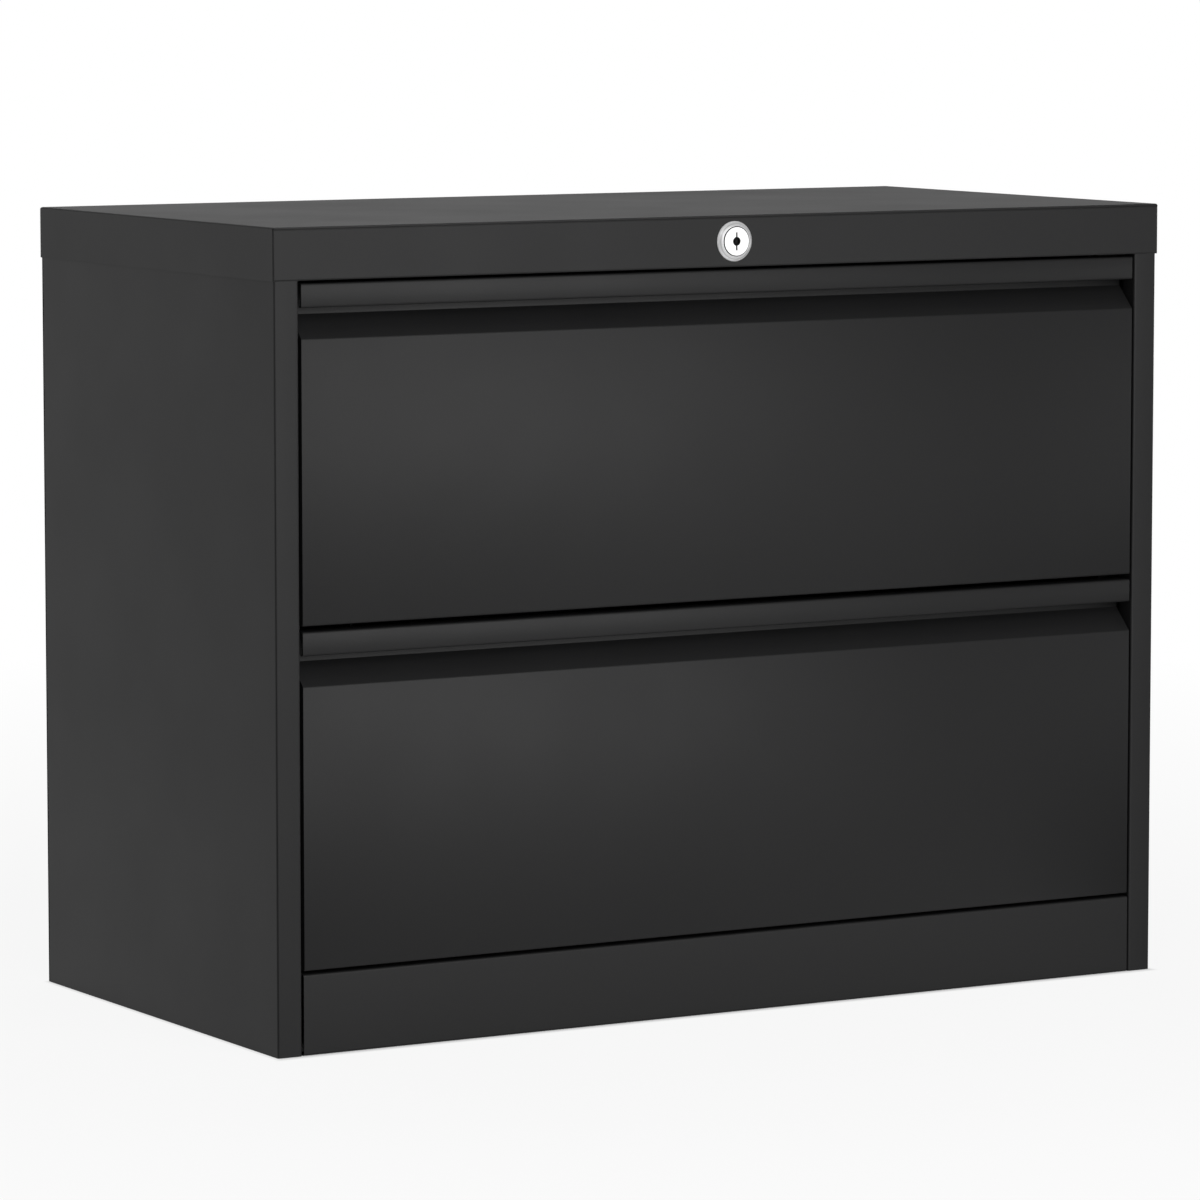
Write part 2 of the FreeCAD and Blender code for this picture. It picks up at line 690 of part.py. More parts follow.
def hanging_rail(base, x):
    """Bar for hanging files that lies on the ledge and the back's hem, with a leg inside each."""
    z = drawer_top(base)
    z_leg = z - HANGER_LEG_DROP
    leg_front = Y_BOX + DRAWER_HEM + HANGER_PLAY
    leg_back = Y_BOX_BACK - DRAWER_HEM - HANGER_PLAY
    rail = box((0, HANGER_THICK), (Y_BOX + HANGER_PLAY, Y_BOX_BACK - HANGER_PLAY), (z, z + HANGER_HEIGHT))
    for leg in ((leg_front, leg_front + HANGER_LEG), (leg_back - HANGER_LEG, leg_back)):
        rail = rail.fuse(box((0, HANGER_THICK), leg, (z_leg, z)))
    return rail.removeSplitter().translated(V(x - HANGER_THICK / 2, 0, 0))


def lock_strike(base):
    """Angle on the right-hand wall of a drawer, which the lock bar's hook stands in front of."""
    half = STRIKE_SHEET / 2
    folds = [
        (X_DRAWER + half, Y_STRIKE + STRIKE_BASE),
        (X_DRAWER + half, Y_STRIKE + half),
        (X_SLIDE - SLIDE_PLAY, Y_STRIKE + half),
    ]
    return folded_sheet(folds, plan(base + STRIKE_LEVEL), V(0, 0, STRIKE_HEIGHT), STRIKE_SHEET)


# Lock
def lock_housing():
    """Flared bezel and barrel, bored for the core."""
    bore = CORE_RADIUS + CORE_PLAY
    recess = PLUG_RADIUS + PLUG_PLAY
    rim = recess + BEZEL_RIM
    height = LOCK_PROUD - PLUG_STAND
    floor = LOCK_PROUD - PLUG_THICK - PLUG_PLAY
    rear = Y_CAP - Y_CAM + CAM_CLEARANCE
    profile = [
        (bore, rear),
        (BARREL_RADIUS, rear),
        (BARREL_RADIUS, 0),
        (rim + BEZEL_FLARE, 0),
        (rim + BEZEL_FLARE, BEZEL_EDGE),
        (rim, height),
        (recess, height),
        (recess, floor),
        (bore, floor),
    ]
    return turned_on_lock(profile)


def lock_core():
    """Turning plug: a broad face with a round keyhole and a slit, on a shaft through the barrel."""
    shoulder = LOCK_PROUD - PLUG_THICK
    rear = Y_CAP - Y_CAM
    profile = [
        (0, LOCK_PROUD),
        (PLUG_RADIUS, LOCK_PROUD),
        (PLUG_RADIUS, shoulder),
        (CORE_RADIUS, shoulder),
        (CORE_RADIUS, rear),
        (0, rear),
    ]
    face = V(0, Y_CAP - LOCK_PROUD, Z_LOCK)
    keyhole = rod(KEYHOLE_RADIUS, face, face + V(0, KEYHOLE_DEPTH, 0))
    post = rod(KEY_POST_RADIUS, face + V(0, KEY_POST_SETBACK, 0), face + V(0, KEYHOLE_DEPTH, 0))
    slit = box(
        (-KEY_SLIT_WIDTH / 2, KEY_SLIT_WIDTH / 2),
        (face.y, face.y + KEY_SLIT_DEPTH),
        (Z_LOCK - KEY_SLIT_HEIGHT / 2, Z_LOCK + KEY_SLIT_HEIGHT / 2),
    )
    return turned_on_lock(profile).cut(keyhole.fuse(slit).cut(post))


def lock_nut():
    """Nut that clamps the barrel to the top rail."""
    seat = V(0, Y_FRONT + SHEET, Z_LOCK)
    depth = V(0, LOCK_NUT_THICK, 0)
    nut = hexagon(LOCK_NUT_FLATS, seat, depth, V(0, 0, 1))
    return nut.cut(rod(BARREL_RADIUS + BARREL_PLAY, seat, seat + depth))


def lock_cam():
    """Tapered link on the core's end, hanging towards +X when unlocked, with a crank pin behind it."""
    towards = V(CRANK_X, -CRANK_Z, 0) / CRANK
    across = left_of(towards)
    hub = V(0, Z_LOCK, 0)
    eye = hub + towards * CRANK
    lean = math.acos((CAM_HUB_RADIUS - CAM_EYE_RADIUS) / CRANK)

    def rim(centre, radius, angle):
        point = centre + (towards * math.cos(angle) + across * math.sin(angle)) * radius
        return V(point.x, Y_CAM, point.y)

    hub_arc = [rim(hub, CAM_HUB_RADIUS, angle) for angle in (lean, math.pi, -lean)]
    eye_arc = [rim(eye, CAM_EYE_RADIUS, angle) for angle in (-lean, 0, lean)]
    curves = [hub_arc, (hub_arc[2], eye_arc[0]), eye_arc, (eye_arc[2], hub_arc[0])]
    plate = Part.Face(Part.Wire([curve_edge(curve) for curve in curves])).extrude(V(0, CAM_THICK, 0))
    pin = rod(CAM_PIN_RADIUS, V(eye.x, Y_CAM + CAM_THICK, eye.y), V(eye.x, Y_DRIVE + BAR_THICK, eye.y))
    return plate.fuse(pin)


def drive_bar():
    """Bar that the crank pin pushes sideways, with a pin at its far end that works the lock bar."""
    x_left = CRANK_X - CRANK_SLOT - 2 * BAR_EDGE
    x_right = X_DRIVE_PIN + DRIVE_PIN_RADIUS + BAR_EDGE
    y = (Y_DRIVE, Y_DRIVE + BAR_THICK)
    bar = box((x_left, x_right), y, (Z_DRIVE - DRIVE_HALF, Z_DRIVE + DRIVE_HALF))
    half = (CRANK - CRANK_Z) / 2
    low = (CRANK_X, Z_DRIVE - half)
    high = (CRANK_X, Z_DRIVE + half)
    bar = bar.cut(slot(low, high, CRANK_SLOT, front_view(Y_DRIVE), V(0, BAR_THICK, 0)))
    pin_end = V(X_DRIVE_PIN, Y_LOCK_BAR + BAR_THICK, Z_DRIVE)
    return bar.fuse(rod(DRIVE_PIN_RADIUS, V(X_DRIVE_PIN, y[1], Z_DRIVE), pin_end))


def hook_top(name):
    """Height of a hook's top edge when unlocked, below the strike of the drawer of that name."""
    return LEVELS[name] + STRIKE_LEVEL - HOOK_CLEARANCE


def lock_bar():
    """Flat bar up the right-hand side: a head with an inclined slot, and a hook for each drawer."""
    edge = DRIVE_PIN_RADIUS + BAR_PLAY + BAR_EDGE
    y = (Y_LOCK_BAR, Y_LOCK_BAR + BAR_THICK)
    x_outer = X_LOCK_BAR + LOCK_BAR_WIDTH
    z_head = (Z_DRIVE - LOCK_LIFT - edge, Z_DRIVE + edge)
    bar = box((X_LOCK_BAR, x_outer), y, (hook_top("lower") - 2 * HOOK_HEIGHT, z_head[1]))
    bar = bar.fuse(box((X_DRIVE_PIN - DRIVE_TRAVEL - edge, x_outer), y, z_head))
    for name in LEVELS:
        bar = bar.fuse(box((X_HOOK, x_outer), y, (hook_top(name) - HOOK_HEIGHT, hook_top(name))))
    high = (X_DRIVE_PIN, Z_DRIVE)
    low = (X_DRIVE_PIN - DRIVE_TRAVEL, Z_DRIVE - LOCK_LIFT)
    cutter = slot(high, low, DRIVE_PIN_RADIUS + BAR_PLAY, front_view(Y_LOCK_BAR), V(0, BAR_THICK, 0))
    return bar.removeSplitter().cut(cutter)


def drive_bar_guides():
    """Two hangers under the cap that the drive bar slides in."""
    half = GUIDE_SHEET / 2
    y_back = Y_DRIVE + BAR_THICK + BAR_PLAY + half
    y_front = Y_DRIVE - BAR_PLAY - half
    z_under = Z_DRIVE - DRIVE_HALF - BAR_PLAY - half
    z_top = Z_UNDER_CAP - half
    folds = [
        (y_back + GUIDE_FOOT, z_top),
        (y_back, z_top),
        (y_back, z_under),
        (y_front, z_under),
        (y_front, Z_DRIVE),
    ]
    guides = []
    for x in (X_DRIVE_PIN / 5, X_DRIVE_PIN * 4 / 5):
        guides.append(folded_sheet(folds, side_view(x), V(GUIDE_WIDTH, 0, 0), GUIDE_SHEET))
    return Part.Compound(guides)


def lock_bar_guides():
    """Two staples on the right-hand side panel that the lock bar slides in, one above each hook."""
    half = GUIDE_SHEET / 2
    y_front = Y_LOCK_BAR - BAR_PLAY - half
    y_back = Y_LOCK_BAR + BAR_THICK + BAR_PLAY + half
    x_foot = X_INSIDE - half
    x_web = X_LOCK_BAR - BAR_PLAY - half
    folds = [
        (x_foot, y_front - GUIDE_FOOT),
        (x_foot, y_front),
        (x_web, y_front),
        (x_web, y_back),
        (x_foot, y_back),
        (x_foot, y_back + GUIDE_FOOT),
    ]
    guides = []
    for name in LEVELS:
        z = hook_top(name) + LOCK_LIFT + HOOK_HEIGHT
        guides.append(folded_sheet(folds, plan(z), V(0, 0, GUIDE_WIDTH), GUIDE_SHEET))
    return Part.Compound(guides)


# Nodes
def pair(name, shape):
    """A right-hand shape and its left-hand twin, with their side put into the name."""
    return {name.format("right"): shape, name.format("left"): mirrored(shape)}


def case_nodes():
    nodes = {
        "top_cap": top_cap(),
        "back_panel": back_panel(),
        "base_pan": base_pan(),
        "kick_plate": kick_plate(),
        "top_front_rail": top_front_rail(),
        "glide_brackets": Part.Compound([glide_bracket(x, y) for x, y in glide_points().values()]),
    }
    nodes.update(pair("{}_side_panel", side_panel()))
    for place, start in UPRIGHT_STARTS.items():
        nodes.update(pair(place + "_{}_upright", upright(start)))
    for place, (x, y) in glide_points().items():
        nodes[place + "_glide"] = levelling_glide(x, y)
    return nodes


def drawer_nodes(base):
    z_slide = base + SLIDE_LEVEL
    rails = [hanging_rail(base, side * HANGER_SPACING / 2) for side in (-1, 1)]
    nodes = {
        "drawer_front": drawer_front(base),
        "front_inner_panel": front_inner_panel(base),
        "drawer_back": drawer_back(base),
        "drawer_bottom": drawer_bottom(base),
        "front_ledge": front_ledge(base),
        "hanging_rails": Part.Compound(rails),
        "lock_strike": lock_strike(base),
        "outer_ball_cages": outer_ball_cages(z_slide),
        "inner_ball_cages": inner_ball_cages(z_slide),
    }
    nodes.update(pair("{}_drawer_wall", drawer_wall(base)))
    nodes.update(pair("{}_slide_outer", slide_outer(z_slide)))
    nodes.update(pair("{}_slide_middle", slide_middle(z_slide)))
    nodes.update(pair("{}_slide_inner", slide_inner(z_slide)))
    return nodes


def lock_nodes():
    return {
        "lock_housing": lock_housing(),
        "lock_nut": lock_nut(),
        "lock_core": lock_core(),
        "lock_cam": lock_cam(),
        "drive_bar": drive_bar(),
        "lock_bar": lock_bar(),
        "drive_bar_guides": drive_bar_guides(),
        "lock_bar_guides": lock_bar_guides(),
    }


def main():
    os.makedirs("parts", exist_ok=True)
    nodes = case_nodes()
    nodes.update(lock_nodes())
    for name, base in LEVELS.items():
        nodes.update({name + "_" + node: shape for node, shape in drawer_nodes(base).items()})
    for name, shape in nodes.items():
        shape.exportStep("parts/" + name + ".step")


if __name__ == "__main__":
    main()
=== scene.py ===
# A two-drawer lateral file cabinet: its finishes, small fasteners, stage and camera
import json
import math

import bmesh
import bpy
from mathutils import Matrix, Vector


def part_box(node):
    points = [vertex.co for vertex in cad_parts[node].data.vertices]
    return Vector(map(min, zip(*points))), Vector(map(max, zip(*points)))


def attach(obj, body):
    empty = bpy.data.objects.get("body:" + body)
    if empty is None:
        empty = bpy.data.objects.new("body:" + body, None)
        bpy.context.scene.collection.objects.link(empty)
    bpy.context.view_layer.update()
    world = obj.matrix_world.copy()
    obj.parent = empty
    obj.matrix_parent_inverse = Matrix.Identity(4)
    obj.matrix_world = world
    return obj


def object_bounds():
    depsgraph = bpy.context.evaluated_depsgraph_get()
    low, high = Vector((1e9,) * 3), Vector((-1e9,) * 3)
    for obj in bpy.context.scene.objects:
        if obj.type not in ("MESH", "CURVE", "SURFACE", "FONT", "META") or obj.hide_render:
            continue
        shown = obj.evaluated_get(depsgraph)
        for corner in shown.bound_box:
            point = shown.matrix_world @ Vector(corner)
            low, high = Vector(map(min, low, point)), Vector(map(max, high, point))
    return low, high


# Camera, in metres and degrees, from the edges of the object in the photograph
CAMERA_PLACE = (-2.82002, -4.79230, 0.94652)
CAMERA_YAW = 30.4393
CAMERA_PITCH = 6.1877
CAMERA_LENS = 185.65
CAMERA_SENSOR = 36.0
CAMERA_REACH = 200.0

# Edges of folded and cut sheet, in metres and degrees
EDGE_ROUND = 0.0003
EDGE_STEPS = 2
EDGE_ANGLE = 50.0
EDGE_JOIN = 1e-6
CAP_BEND = 0.002
CAP_BEND_END = 1.001 * CAP_BEND
CORNER_ROUND = 0.0018
CORNER_STEPS = 4
CORNER_JOIN = 1e-5
MITRE_TOLERANCE = 1e-5
BEND_TOLERANCE = 2e-5
FLAT_ANGLE = 1.0
FACE_WEIGHT = 100
SMOOTH_ANGLE = 32.0

# Fasteners, in metres; profiles and the cross recess are shares of the head's radius and height
SCREW_RADIUS = 0.0042
SCREW_HEIGHT = 0.0012
SCREW_PROFILE = ((1.0, 0.25), (0.93, 0.6), (0.78, 0.88), (0.62, 1.0))
SCREW_LEVELS = 5
SCREW_SIDE_INSET = 0.011
SCREW_END_INSET = 0.03
CROSS_ARM = 0.48
CROSS_HALF = 0.11
CROSS_TAPER = 0.7
CROSS_FLOOR = 0.35
RIVET_RADIUS = 0.0034
RIVET_HEIGHT = 0.0011
RIVET_PROFILE = ((0.97, 0.3), (0.84, 0.65), (0.62, 0.9), (0.36, 1.0), (0.30, 0.8), (0.28, 0.35), (0, 0.3))
RIVETS_PER_SLIDE = 3
RIVET_END_INSET = 0.05
HEAD_SEAT = 0.0001
HEAD_SPIN = 37
ROUND_STEPS = 24

# Finishes: linear colours, noise as scale, detail and stretch, and relief as depth and strength
COAT_COLOUR = (0.0095, 0.0095, 0.0098)
COAT_DARK = (0.0077, 0.0077, 0.008)
COAT_DRIFT = (5.0, 3.0)
COAT_SPECK = (900.0, 1.0)
COAT_SPECK_SHARE = 0.5
COAT_TONES = (0.45, 1.05)
COAT_CLOUD = (9.0, 4.0)
COAT_ROUGH = (0.46, 0.50)
COAT_PEEL = (750.0, 2.0)
COAT_RELIEF = (0.0002, 0.25)
COAT_SPECULAR = 0.27
ZINC_COLOUR = (0.56, 0.57, 0.585)
ZINC_DARK = (0.42, 0.43, 0.445)
RAIL_COLOUR = (0.17, 0.172, 0.178)
RAIL_DARK = (0.12, 0.122, 0.127)
ZINC_STREAK = (40.0, 4.0, (6, 0.25, 6))
ZINC_CLOUD = (22.0, 2.0)
ZINC_CLOUD_SHARE = 0.6
ZINC_TONES = (0.5, 1.1)
ZINC_GLOSS = (30.0, 3.0, (5, 0.4, 5))
ZINC_ROUGH = (0.30, 0.44)
ZINC_GRAIN = (260.0, 2.0, (4, 0.15, 4))
ZINC_RELIEF = (0.0001, 0.2)
PHOSPHATE_COLOUR = (0.014, 0.014, 0.0145)
PHOSPHATE_DARK = (0.009, 0.009, 0.0094)
PHOSPHATE_MOTTLE = (160.0, 4.0)
PHOSPHATE_CLOUD = (45.0, 3.0)
PHOSPHATE_ROUGH = (0.62, 0.76)
PHOSPHATE_CRYSTALS = (1200.0, 2.0)
PHOSPHATE_RELIEF = (0.0001, 0.2)
PHOSPHATE_SPECULAR = 0.3
PHOSPHATED_PIECES = ("upright", "lock_bar", "drive_bar", "lock_cam", "lock_strike", "glide_brackets")
METAL_SPECULAR = 0.5

# Lock's finishes, with painted shade in its keyhole and groove and painted light on its bezel; radii from its
# axis and depths from its face are in metres
PLUG_COLOUR = (0.88, 0.88, 0.885)
PLUG_WORN = (0.84, 0.84, 0.845)
PLUG_WEAR = (180.0, 3.0)
PLUG_METAL = 0.5
# Painted light on the bezel: its slope is painted in light and dark rings as the shading of a stepped bezel,
# and its outer edge near white as a highlight
BEZEL_COLOUR = (0.78, 0.78, 0.785)
BEZEL_SHADE = (0.56, 0.56, 0.565)
BEZEL_HIGHLIGHT = (0.95, 0.95, 0.955)
BEZEL_METAL = 0.25
BEZEL_RING_STEP = 0.0013
BEZEL_HIGHLIGHT_STARTS = (0.0160, 0.0165)
SATIN_CLOUD = (240.0, 3.0)
SATIN_ROUGH = (0.28, 0.36)
TURNING_STEP = 0.00035
TURNING_RELIEF = (0.00001, 0.15)
# Painted shade: the groove round the plug and the inside of the keyhole are painted near black, as shade, and
# made rougher
GROOVE_SHADE_STARTS = (0.01225, 0.01240)
GROOVE_SHADE_ENDS = (0.01315, 0.01330)
KEYHOLE_AND_GROOVE_SHADE = (0.012, 0.012, 0.012)
KEYHOLE_SHADE_STARTS = (0.0002, 0.0006)
KEYHOLE_ROUGH = 0.5

# Slight doming of the drawer fronts as slopes, its limits as shares of a front's box, and the way it faces
CROWN_ACROSS = 0.2
CROWN_UP = 0.17
CROWN_LIP = 0.17
PANEL_TOP = 0.8375
LIP_BOTTOM = 0.929
RECESS_STARTS = (0.02, 0.1)
FRONT_FACING = (-0.9, -0.98)

# Stage: levels as shares of white, distances in metres, and the backdrop's limits as parts of a direction
WHITE = (1, 1, 1, 1)
BLACK = (0, 0, 0, 1)
FLOOR_COLOUR = (0.80, 0.80, 0.80)
FLOOR_SIZE = 60.0
FLOOR_WHITE = (0.9, 1.0)
FLOOR_WHITE_REACH = (0.7, 2.6)
UNDER_CASE = (-0.012, 0.004)
MIRROR_SHARE = 0.55
ROOM_LEVEL = 0.278
AMBIENT_LEVEL = 0.1
BACKDROP_TURN = (0.15, 0.65)
BACKDROP_RISE = (0.11, 0.35)

# Dark flag at the front left and dark mat at the right: direction, reach as cosines of the angle, and level
FLAG = ((-0.75, -0.66, 0.0), (0.74, 0.95), 0.0)
MAT = ((0.995, -0.1, 0.0), (0.77, 0.93), 0.1)
MAT_ENDS = (1.2, 2.0)

# Lamps: name, place, size and power in watts
PANEL_LAMP = (1.8, 1.6)
STRIP_LAMP = (1.8, 0.5)
LAMPS = (
    ("front_right", (0.95, -3.5, 0.8), PANEL_LAMP, 32.5),
    ("front_left", (-1.1, -3.5, 1.0), PANEL_LAMP, 25.5),
    ("front_high", (0.3, -3.2, 2.0), PANEL_LAMP, 18),
    ("left_high", (-1.6, -2.6, 2.4), PANEL_LAMP, 20),
    ("right_side", (3.4, 0.05, 0.42), STRIP_LAMP, 17),
    ("left_side", (-3.4, 0.5, 0.42), STRIP_LAMP, 12),
    ("back_high", (0.0, 1.3, 3.2), PANEL_LAMP, 17),
)
LAMP_TARGET = (0, -0.2, 0.4)

DRAWERS = ("upper", "lower")


def nodes_of(material):
    """An emptied node tree's function that adds a node with its settings and its links."""
    material.use_nodes = True
    tree = material.node_tree
    tree.nodes.clear()

    def add(kind, settings=None, **inputs):
        node = tree.nodes.new("ShaderNode" + kind)
        for name, value in (settings or {}).items():
            setattr(node, name, value)
        for name, value in inputs.items():
            socket = node.inputs[int(name[1:])] if name[0] == "_" else node.inputs[name.replace("_", " ")]
            if isinstance(value, bpy.types.NodeSocket):
                tree.links.new(value, socket)
            else:
                socket.default_value = value
        return node

    return add


def in_order(values):
    """Values for a node's inputs, by their order."""
    return {f"_{index}": value for index, value in enumerate(values)}


def calc(add, operation, *values):
    """A number from arithmetic on numbers."""
    return add("Math", {"operation": operation}, **in_order(values)).outputs[0]


def vector(add, operation, *values):
    """A vector from arithmetic on vectors."""
    return add("VectorMath", {"operation": operation}, **in_order(values)).outputs["Vector"]


def measure(add, operation, *values):
    """A number from arithmetic on vectors."""
    return add("VectorMath", {"operation": operation}, **in_order(values)).outputs["Value"]


def opaque(colour):
    return (*colour, 1.0)


def shaded(name, colour, roughness, bump, metallic, specular, crown=None):
    """A material from its colour, roughness and bump height, with its constants on the shader."""
    material = bpy.data.materials.new(name)
    add = nodes_of(material)
    place = add("TexCoord").outputs["Object"]
    height, (distance, strength) = bump(add, place)
    relief = add("Bump", Height=height, Distance=distance, Strength=strength)
    if crown:
        material.node_tree.links.new(crown(add), relief.inputs["Normal"])
    shader = add("BsdfPrincipled", Base_Color=colour(add, place), Roughness=roughness(add, place),
                 Normal=relief.outputs[0])
    shader.inputs["Metallic"].default_value = metallic
    shader.inputs["Specular IOR Level"].default_value = specular
    add("OutputMaterial", Surface=shader.outputs[0])
    return material


def noise(add, place, scale, detail, stretch=None):
    """Noise, as the share from 0 to 1."""
    if stretch:
        place = add("Mapping", Vector=place, Scale=stretch).outputs[0]
    return add("TexNoise", Vector=place, Scale=scale, Detail=detail).outputs["Fac"]


def between(add, share, low, high, start=0.3, end=0.7):
    """A number that goes from low to high as the share goes from start to end."""
    return add("MapRange", Value=share, _1=start, _2=end, _3=low, _4=high).outputs[0]


def blend(add, share, first, second):
    """A colour between two."""
    mix = add("Mix", {"data_type": "RGBA"}, Factor=share)
    for socket, value in ((mix.inputs[6], first), (mix.inputs[7], second)):
        if isinstance(value, bpy.types.NodeSocket):
            mix.id_data.links.new(value, socket)
        else:
            socket.default_value = value
    return mix.outputs[2]


def crowned(add):
    """The normal of a formed front: its panel and its lip are each very slightly domed."""
    share = add("SeparateXYZ", Vector=add("TexCoord").outputs["Generated"])
    across = between(add, share.outputs["X"], -CROWN_ACROSS, CROWN_ACROSS, 0.0, 1.0)
    height = share.outputs["Z"]
    panel = between(add, height, -CROWN_UP, CROWN_UP, 0.0, PANEL_TOP)
    lip = between(add, height, -CROWN_LIP, CROWN_LIP, LIP_BOTTOM, 1.0)
    on_lip = calc(add, "GREATER_THAN", height, (PANEL_TOP + LIP_BOTTOM) / 2)
    up = add("Mix", {"data_type": "FLOAT"}, Factor=on_lip, _2=panel, _3=lip).outputs[0]
    outer = between(add, share.outputs["Y"], 1.0, 0.0, *RECESS_STARTS)
    tilt = add("CombineXYZ", X=across, Y=0.0, Z=calc(add, "MULTIPLY", up, outer)).outputs[0]
    flat = add("NewGeometry").outputs["Normal"]
    facing = between(add, add("SeparateXYZ", Vector=flat).outputs["Y"], 0.0, 1.0, *FRONT_FACING)
    tilt = add("VectorMath", {"operation": "SCALE"}, _0=tilt, Scale=facing).outputs[0]
    return vector(add, "NORMALIZE", vector(add, "ADD", flat, tilt))


def powder_coat(name, crown=None):
    """Matt charcoal powder coat: fine orange peel, a slight drift in tone and gloss."""
    def colour(add, place):
        drift = noise(add, place, *COAT_DRIFT)
        speck = noise(add, place, *COAT_SPECK)
        share = calc(add, "MULTIPLY_ADD", speck, COAT_SPECK_SHARE, drift)
        return blend(add, between(add, share, 0.0, 1.0, *COAT_TONES), opaque(COAT_DARK), opaque(COAT_COLOUR))

    def roughness(add, place):
        return between(add, noise(add, place, *COAT_CLOUD), *COAT_ROUGH)

    def bump(add, place):
        return noise(add, place, *COAT_PEEL), COAT_RELIEF

    return shaded(name, colour, roughness, bump, 0.0, COAT_SPECULAR, crown)


def zinc_plate(name, light, dark):
    """Zinc on rolled steel: streaks along the rolling direction and a faint cloudiness."""
    def colour(add, place):
        streak = noise(add, place, *ZINC_STREAK)
        cloud = noise(add, place, *ZINC_CLOUD)
        share = calc(add, "MULTIPLY_ADD", cloud, ZINC_CLOUD_SHARE, streak)
        return blend(add, between(add, share, 0.0, 1.0, *ZINC_TONES), opaque(dark), opaque(light))

    def roughness(add, place):
        return between(add, noise(add, place, *ZINC_GLOSS), *ZINC_ROUGH)

    def bump(add, place):
        return noise(add, place, *ZINC_GRAIN), ZINC_RELIEF

    return shaded(name, colour, roughness, bump, 1.0, METAL_SPECULAR)


def phosphate():
    """Black phosphated steel inside the case: dull, and mottled by its fine crystals."""
    def colour(add, place):
        mottle = between(add, noise(add, place, *PHOSPHATE_MOTTLE), 0.0, 1.0)
        return blend(add, mottle, opaque(PHOSPHATE_DARK), opaque(PHOSPHATE_COLOUR))

    def roughness(add, place):
        return between(add, noise(add, place, *PHOSPHATE_CLOUD), *PHOSPHATE_ROUGH)

    def bump(add, place):
        return noise(add, place, *PHOSPHATE_CRYSTALS), PHOSPHATE_RELIEF

    return shaded("phosphate_finish", colour, roughness, bump, 0.0, PHOSPHATE_SPECULAR)


def rings(add, away, step):
    """A wave from -1 to 1 that repeats with the distance from an axis."""
    return calc(add, "SINE", calc(add, "MULTIPLY", away, 2 * math.pi / step))


def plug_colour(add, place, away):
    """The plug's face, slightly worn."""
    worn = between(add, noise(add, place, *PLUG_WEAR), 0.0, 1.0)
    return blend(add, worn, opaque(PLUG_WORN), opaque(PLUG_COLOUR))


def bezel_colour(add, place, away):
    """The bezel's slope painted in light and dark rings, as the shading of a stepped bezel, and a painted
    highlight on its outer edge.
    """
    ringed = between(add, rings(add, away, BEZEL_RING_STEP), 0.0, 1.0, -1.0, 1.0)
    slope = blend(add, ringed, opaque(BEZEL_SHADE), opaque(BEZEL_COLOUR))
    return blend(add, between(add, away, 0.0, 1.0, *BEZEL_HIGHLIGHT_STARTS), slope, opaque(BEZEL_HIGHLIGHT))


def lock_plate(name, axis_height, face, plate, metal):
    """Satin plate with fine rings round the lock's axis; the keyhole and the groove round the plug are
    painted near black as shade, and made duller.
    """
    def radius(add, place):
        flat = add("Mapping", Vector=place, Location=(0, 0, -axis_height), Scale=(1, 0, 1)).outputs[0]
        return measure(add, "LENGTH", flat)

    # Painted shade: 1 inside the keyhole and in the groove round the plug, where shade falls
    def dark(add, place):
        depth = add("SeparateXYZ", Vector=place).outputs["Y"]
        deep = between(add, depth, 0.0, 1.0, *(face + start for start in KEYHOLE_SHADE_STARTS))
        away = radius(add, place)
        within = between(add, away, 1.0, 0.0, *GROOVE_SHADE_ENDS)
        rim = between(add, away, 0.0, 1.0, *GROOVE_SHADE_STARTS)
        return calc(add, "MULTIPLY", calc(add, "MAXIMUM", deep, rim), within)

    def colour(add, place):
        return blend(add, dark(add, place), plate(add, place, radius(add, place)), opaque(KEYHOLE_AND_GROOVE_SHADE))

    def roughness(add, place):
        satin = between(add, noise(add, place, *SATIN_CLOUD), *SATIN_ROUGH)
        return calc(add, "MULTIPLY_ADD", dark(add, place), KEYHOLE_ROUGH, satin)

    def bump(add, place):
        return rings(add, radius(add, place), TURNING_STEP), TURNING_RELIEF

    return shaded(name, colour, roughness, bump, metal, METAL_SPECULAR)


def put_on(obj, material):
    obj.data.materials.clear()
    obj.data.materials.append(material)


def soften(obj):
    """Rounds a node's sharp edges a little and shades its bends smoothly; its own mesh stays as it is."""
    mesh = obj.data
    if mesh.attributes.get("custom_normal"):
        mesh.attributes.remove(mesh.attributes["custom_normal"])
    mesh.polygons.foreach_set("use_smooth", [True] * len(mesh.polygons))
    obj.modifiers.new("joined_faces", "WELD").merge_threshold = EDGE_JOIN
    bevel = obj.modifiers.new("edge_round", "BEVEL")
    bevel.width = EDGE_ROUND
    bevel.segments = EDGE_STEPS
    bevel.limit_method = "ANGLE"
    bevel.angle_limit = math.radians(EDGE_ANGLE)
    bevel.harden_normals = True
    bevel.use_clamp_overlap = True


def join_corners(obj):
    """Joins the points of faces that rounding has left too small to see."""
    obj.modifiers.new("joined_corners", "WELD").merge_threshold = CORNER_JOIN


